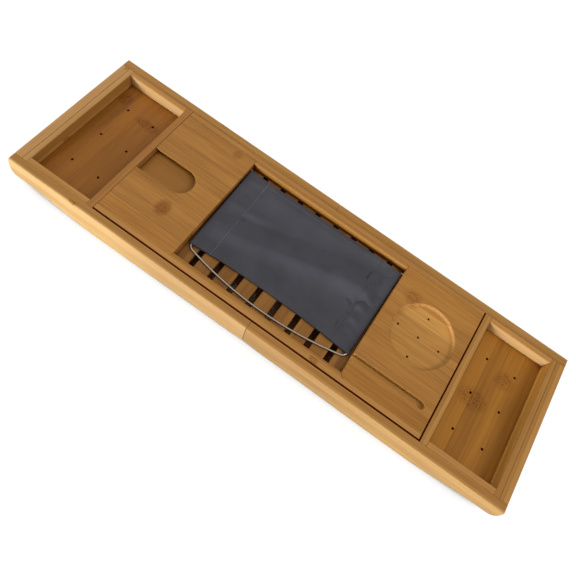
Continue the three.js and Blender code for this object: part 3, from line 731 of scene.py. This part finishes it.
FOLDS = [
    ([(-108, -24), (-70, -14), (-22, 0), (30, 14), (88, 28)], 15, 4.3, 6.6),
    ([(-92, 24), (-68, 28), (-46, 31)], 7, 1.8, 0.4),
    ([(-92, 12), (-66, 14), (-34, 20)], 6, -2.3, -1.6),
    ([(-60, 17), (-20, 26), (30, 38), (74, 49), (98, 52)], 10, -2.0, -3.5),
    ([(-80, 66), (0, 72), (60, 76), (100, 84)], 10, 1.0, 2.0),
    ([(-128, 66), (-100, 72)], 6, 1.6, 1.0),
    ([(-128, 44), (-102, 48)], 6, -1.2, -0.5),
    ([(-128, 22), (-102, 26)], 6, 1.7, 0.8),
    ([(-127, 3), (-104, 8)], 5, -1.6, -0.8),
    ([(-127, -14), (-102, -10)], 6, 1.9, 0.7),
    ([(-30, -44), (40, -34), (84, -26)], 20, -1.3, -1.3),
    ([(99, 23), (107, 19)], 6, 3.9, 2.6),
    ([(101, 4), (108, 2)], 5.5, 3.5, 1.7),
    ([(100, -16), (106, -18)], 5.5, 3.7, 2.6),
    ([(104, -33), (113, -36)], 7, 3.1, 1.7),
    ([(96, 43), (108, 40)], 6, 1.2, 0.9),
    ([(106, 31), (122, 36)], 5, -1.2, -0.8),
    ([(79, 33), (97, 30)], 3, -1.0, -2.0),
    ([(84, 5), (92, 2), (93, -11)], 2.6, -1.8, -2.0),
    ([(95, 9), (112, 11)], 2.6, -2.1, -1.2),
    ([(93, -20), (102, -11)], 2.8, -1.7, -1.2),
    ([(90, 47), (104, 51)], 3, -1.4, -0.8),
    ([(95, 61), (114, 67)], 3, -1.2, -0.6),
    ([(88, -34), (92, -50)], 4, -0.7, -0.4),
]

# How many half widths away a fold still counts
FOLD_REACH = 3

# The unfolded sheet: its height and dip at the side seams, and its sag between them
SEAM_HEIGHT = 0.6
SEAM_DIP = 0.9
SEAM_DIP_WIDTH = 1.3
SAG = 1.2

# How far the cloth's back and front edges bow back, and how much more so on the right, as a share
BACK_BOW = 1.4
FRONT_BOW = 6.0
BOW_TO_RIGHT = 0.35

# The hem that is turned under at the back and front edges
TURNED_WIDTH = 7.0
TURNED_RISE = 0.35
TURNED_STEEPNESS = 3.0

# Steps of the sheet's mesh: from under a hem to the wire, round it, over the hem, across the
# middle, and from back to front
UNDER_STEPS = 8
SLEEVE_STEPS = 12
HEM_STEPS = 40
MIDDLE_STEPS = 120
ROWS = 104


def from_route(x, y, route):
    """Distance from a place to a route, and how far along the route it lies, 0 to 1."""
    nearest, share = 1e9, 0.0
    for index in range(len(route) - 1):
        ax, ay = route[index]
        bx, by = route[index + 1]
        run, rise = bx - ax, by - ay
        along = ((x - ax) * run + (y - ay) * rise) / (run * run + rise * rise)
        along = min(max(along, 0.0), 1.0)
        distance = math.hypot(x - ax - along * run, y - ay - along * rise)
        if distance < nearest:
            nearest, share = distance, (index + along) / (len(route) - 1)
    return nearest, share


def fold_height(x, y):
    """Height of the folds at a place, in the caddy's own X and Y."""
    height = 0.0
    for route, width, first, last in FOLDS:
        distance, share = from_route(x, y, route)
        if distance < FOLD_REACH * width:
            height += (first + (last - first) * share) * math.exp(-((distance / width) ** 2))
    return height


def sheet_at(x):
    """Height of the unfolded sheet at an X between its wires, and how free it is to fold there.

    The side seams pull the sheet down along their thread.
    """
    if abs(x) <= HEM:
        return SEAM_HEIGHT - SAG * (1 - (x / HEM) ** 2), 1.0
    share = min(max((WIRE_HALF - abs(x)) / (WIRE_HALF - HEM), 0.0), 1.0)
    pressed = SEAM_DIP * math.exp(-(((abs(x) - SEAM) / SEAM_DIP_WIDTH) ** 2))
    height = SLEEVE - (SLEEVE - SEAM_HEIGHT) * min(1.0, share * 1.15) ** 0.8 - pressed
    return height, min(1.0, share * 2.5)


def dip_at(x, reach):
    """How far the cloth lies behind its straight place. Both edges bow back, mostly the front."""
    share = (reach - CLOTH_BACK) / CLOTH_LENGTH
    lean = 1 + BOW_TO_RIGHT * x / WIRE_HALF
    bow = BACK_BOW * lean * (1 - share) + FRONT_BOW * share
    return bow * max(0.0, 1 - (x / WIRE_HALF) ** 2)


def turned_at(reach):
    """The extra height of the hem that is turned under at the front and back edges."""
    from_edge = min(reach - CLOTH_BACK, CLOTH_FRONT - reach)
    return TURNED_RISE / (1 + math.exp((from_edge - TURNED_WIDTH) * TURNED_STEEPNESS))


def folded(x, height, free, reach):
    """A point of the folded sheet.

    X is between the wires, the height is that of the unfolded sheet, free is how free the sheet is
    to fold there, and reach is the distance from the hinge line. The rack narrows to the front.
    """
    local_x = x * (1 - RACK_TAPER * reach / CLOTH_FRONT / WIRE_HALF)
    local_y = dip_at(x, reach) - reach
    fold = fold_height(local_x + RACK_CENTRE, local_y + PIVOT_Y)
    return local_x, local_y, height + (fold + turned_at(reach)) * free


def cloth_columns():
    """The sheet's section between its sewn edges: X, height, and how free it is to fold."""
    # From the sewn edge, flat under the seam, then down to the wire
    half = [(HEM - 3.0, -0.75, 0.0), (HEM, -0.7, 0.0)]
    for step in range(UNDER_STEPS):
        share = step / UNDER_STEPS
        half.append((HEM + 4 + (WIRE_HALF - HEM - 4) * share, -0.8 - 1.2 * share**2, 0.0))

    # Round the wire, over the hem, and across to the other side
    for step in range(SLEEVE_STEPS + 1):
        angle = -math.pi / 2 + math.pi * step / SLEEVE_STEPS
        half.append((WIRE_HALF + SLEEVE * math.cos(angle), SLEEVE * math.sin(angle), 0.0))
    outer = [WIRE_HALF - (WIRE_HALF - HEM) * step / HEM_STEPS for step in range(1, HEM_STEPS + 1)]
    half += [(x, *sheet_at(x)) for x in outer]
    inner = [HEM - 2 * HEM * step / MIDDLE_STEPS for step in range(1, MIDDLE_STEPS)]
    middle = [(x, *sheet_at(x)) for x in inner]
    return half + middle + [(-x, height, free) for x, height, free in reversed(half)]


def build_cloth():
    """The cloth as one sheet with its thickness, and its width laid flat in metres."""
    columns = cloth_columns()
    travelled = [0.0]
    for first, second in zip(columns, columns[1:]):
        travelled.append(travelled[-1] + math.dist(first[:2], second[:2]))
    vertices, faces, distances = [], [], []
    for row in range(ROWS + 1):
        share = row / ROWS
        for (x, height, free), across in zip(columns, travelled):
            vertices.append(folded(x, height, free, CLOTH_BACK + share * CLOTH_LENGTH))
            distances.append((across * MM, share * CLOTH_LENGTH * MM))
    width = len(columns)
    for row in range(ROWS):
        for column in range(width - 1):
            near = row * width + column
            faces.append((near, near + 1, near + width + 1, near + width))
    made = new_piece("cloth_rest", vertices, faces, slate_cloth, distances)
    thick = made.modifiers.new("thickness", "SOLIDIFY")
    thick.thickness = CLOTH_THICKNESS * MM
    thick.offset = 0
    thick.use_even_offset = True
    return made, travelled[-1] * MM


cloth, cloth_width = build_cloth()
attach(cloth, "rack")
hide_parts("rack_cloth")


# Stitches: short lengths of thread in a row along a sewing line on the cloth

STITCH_PITCH = 3.2
STITCH_LENGTH = 2.5
THREAD_WIDTH = 0.45
THREAD_RISE = 0.1


def stitch_tree():
    """A node tree that lays stitches along a line."""
    tree = bpy.data.node_groups.new("stitches_along_a_line", "GeometryNodeTree")
    face = tree.interface
    face.new_socket("Line", in_out="INPUT", socket_type="NodeSocketGeometry")
    for size in ("Pitch", "Stitch length", "Thread width"):
        face.new_socket(size, in_out="INPUT", socket_type="NodeSocketFloat")
    face.new_socket("Thread", in_out="INPUT", socket_type="NodeSocketMaterial")
    face.new_socket("Stitches", in_out="OUTPUT", socket_type="NodeSocketGeometry")
    given = add(tree, "NodeGroupInput").outputs
    line = add(tree, "GeometryNodeMeshToCurve", {"Mesh": given["Line"]}).outputs[0]
    spaced = {"Curve": line, "Length": given["Pitch"]}
    points = add(tree, "GeometryNodeResampleCurve", spaced, mode="LENGTH").outputs[0]
    ball = {"Segments": 8, "Rings": 6, "Radius": 0.5}
    bead = add(tree, "GeometryNodeMeshUVSphere", ball).outputs["Mesh"]
    sides = {0: given["Stitch length"], 1: given["Thread width"], 2: given["Thread width"]}
    size = add(tree, "ShaderNodeCombineXYZ", sides).outputs[0]
    stitch = add(tree, "GeometryNodeTransform", {"Geometry": bead, "Scale": size}).outputs[0]
    tangent = add(tree, "GeometryNodeInputTangent").outputs[0]
    turn = add(tree, "FunctionNodeAlignRotationToVector", {"Vector": tangent}, axis="X").outputs[0]
    laid = {"Points": points, "Instance": stitch, "Rotation": turn}
    row = add(tree, "GeometryNodeInstanceOnPoints", laid).outputs[0]
    real = add(tree, "GeometryNodeRealizeInstances", {"Geometry": row}).outputs[0]
    smooth = add(tree, "GeometryNodeSetShadeSmooth", {"Geometry": real}).outputs[0]
    dyeing = {"Geometry": smooth, "Material": given["Thread"]}
    dyed = add(tree, "GeometryNodeSetMaterial", dyeing).outputs[0]
    add(tree, "NodeGroupOutput", {"Stitches": dyed})
    return tree


stitches = stitch_tree()


def on_cloth(x, reach):
    """A place for thread on the cloth's top face."""
    local_x, local_y, height = folded(x, *sheet_at(x), reach)
    return local_x, local_y, height + CLOTH_THICKNESS / 2 + THREAD_RISE


def sew(name, places, thread):
    """A row of stitches on the cloth's top face, along places given as X and reach."""
    points = [on_cloth(x, reach) for x, reach in places]
    mesh = bpy.data.meshes.new(name + "_line")
    mesh.from_pydata(points, [(index, index + 1) for index in range(len(points) - 1)], [])
    mesh.transform(rack_rest)
    line = bpy.data.objects.new(name + "_line", mesh)
    bpy.context.scene.collection.objects.link(line)
    sewing = line.modifiers.new("sewing", "NODES")
    sewing.node_group = stitches
    inputs = {
        "Pitch": STITCH_PITCH * MM,
        "Stitch length": STITCH_LENGTH * MM,
        "Thread width": THREAD_WIDTH * MM,
        "Thread": thread,
    }
    for item in stitches.interface.items_tree:
        if item.in_out == "INPUT" and item.name in inputs:
            sewing[item.identifier] = inputs[item.name]
    view = bpy.context.evaluated_depsgraph_get()
    sewn = bpy.data.meshes.new_from_object(line.evaluated_get(view), depsgraph=view)
    bpy.data.objects.remove(line)
    sewn.name = name
    made = bpy.data.objects.new(name, sewn)
    bpy.context.scene.collection.objects.link(made)
    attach(made, "rack")
    return made


def side_seam(sign):
    """Places along a side seam, from the back edge to the front."""
    margin, steps = 1.5, 90
    length = CLOTH_LENGTH - 2 * margin
    return [(sign * SEAM, CLOTH_BACK + margin + length * step / steps) for step in range(steps + 1)]


def edge_seam(reach):
    """Places along the hem at the front or back edge."""
    margin, half_steps = 3.0, 80
    half = WIRE_HALF - margin
    return [(-half + half * step / half_steps, reach) for step in range(2 * half_steps + 1)]


rows = [
    sew("seam_left", side_seam(-1), grey_thread),
    sew("seam_right", side_seam(1), slate_thread),
    sew("hem_front", edge_seam(CLOTH_FRONT - EDGE_HEM), slate_thread),
    sew("hem_back", edge_seam(CLOTH_BACK + EDGE_HEM), slate_thread),
]


# Studio: a white floor that keeps a faint shadow, under an even white sky. The key comes from the
# right, a weak fill from the left, and a low light from the front for the upright faces.

# Half the floor's width, and how far shadow reaches on it, in metres
FLOOR_REACH = 12.0
SHADOW_REACH = 0.08


def seen(tree):
    """1 for what the camera sees, straight, through glass or in gloss, or else 0."""
    path = add(tree, "ShaderNodeLightPath").outputs
    direct = calculate(tree, "MAXIMUM", path["Is Camera Ray"], path["Is Transmission Ray"])
    return calculate(tree, "MAXIMUM", direct, path["Is Glossy Ray"])


def studio_white(name):
    """A matt white surface that the camera sees as plain white, a little darker in shadow."""
    material, tree, shader = new_material(name)
    tree.nodes.remove(shader)
    diffuse = add(tree, "ShaderNodeBsdfDiffuse", {"Color": linear("#E6E6E6")}).outputs[0]
    near = {"Distance": SHADOW_REACH}
    open_air = add(tree, "ShaderNodeAmbientOcclusion", near, samples=16).outputs["AO"]
    # Painted shade: where things lie close above, as under the caddy, the seen floor turns brown and
    # its glow fades
    shade = mix(tree, remap(tree, open_air, 0.24, 0.42), linear("#7E4C26"), linear("#9A9A9A"))
    shaded = add(tree, "ShaderNodeBsdfDiffuse", {"Color": shade}).outputs[0]
    light = remap(tree, open_air, 0.32, 0.56, 0.0, 0.74, smooth=True)
    glow = add(tree, "ShaderNodeEmission", {"Color": (1, 1, 1, 1), "Strength": light}).outputs[0]
    plain = add(tree, "ShaderNodeAddShader", {0: shaded, 1: glow}).outputs[0]
    mixed = add(tree, "ShaderNodeMixShader", {0: seen(tree), 1: diffuse, 2: plain}).outputs[0]
    tree.links.new(mixed, tree.nodes["Material Output"].inputs["Surface"])
    return material


floor_mesh = bpy.data.meshes.new("floor")
floor_mesh.from_pydata(
    [(x * FLOOR_REACH, y * FLOOR_REACH, 0) for x, y in ((-1, -1), (1, -1), (1, 1), (-1, 1))],
    [],
    [(0, 1, 2, 3)],
)
floor_mesh.materials.append(studio_white("floor_white"))
floor = bpy.data.objects.new("floor", floor_mesh)
bpy.context.scene.collection.objects.link(floor)


def sun(name, azimuth, elevation, strength, spread):
    """A distant lamp. Its angles are in degrees, the azimuth from the front towards the right."""
    turn, rise = math.radians(azimuth), math.radians(elevation)
    direction = (math.sin(turn) * math.cos(rise), -math.cos(turn) * math.cos(rise), math.sin(rise))
    data = bpy.data.lights.new(name, "SUN")
    data.energy = strength
    data.angle = math.radians(spread)
    lamp = bpy.data.objects.new(name, data)
    lamp.rotation_euler = Vector(direction).to_track_quat("Z", "Y").to_euler()
    bpy.context.scene.collection.objects.link(lamp)


sun("right", azimuth=86, elevation=47, strength=0.95, spread=28)
sun("left", azimuth=-100, elevation=65, strength=0.7, spread=70)
sun("front", azimuth=-10, elevation=6.8, strength=3.1, spread=8)

world = bpy.data.worlds.new("studio")
bpy.context.scene.world = world
world.use_nodes = True
sky = world.node_tree.nodes["Background"]
sky.inputs["Color"].default_value = (1, 1, 1, 1)
level = remap(world.node_tree, seen(world.node_tree), low=0.52, high=1.0)
world.node_tree.links.new(level, sky.inputs["Strength"])

bpy.context.scene.view_settings.view_transform = "Standard"
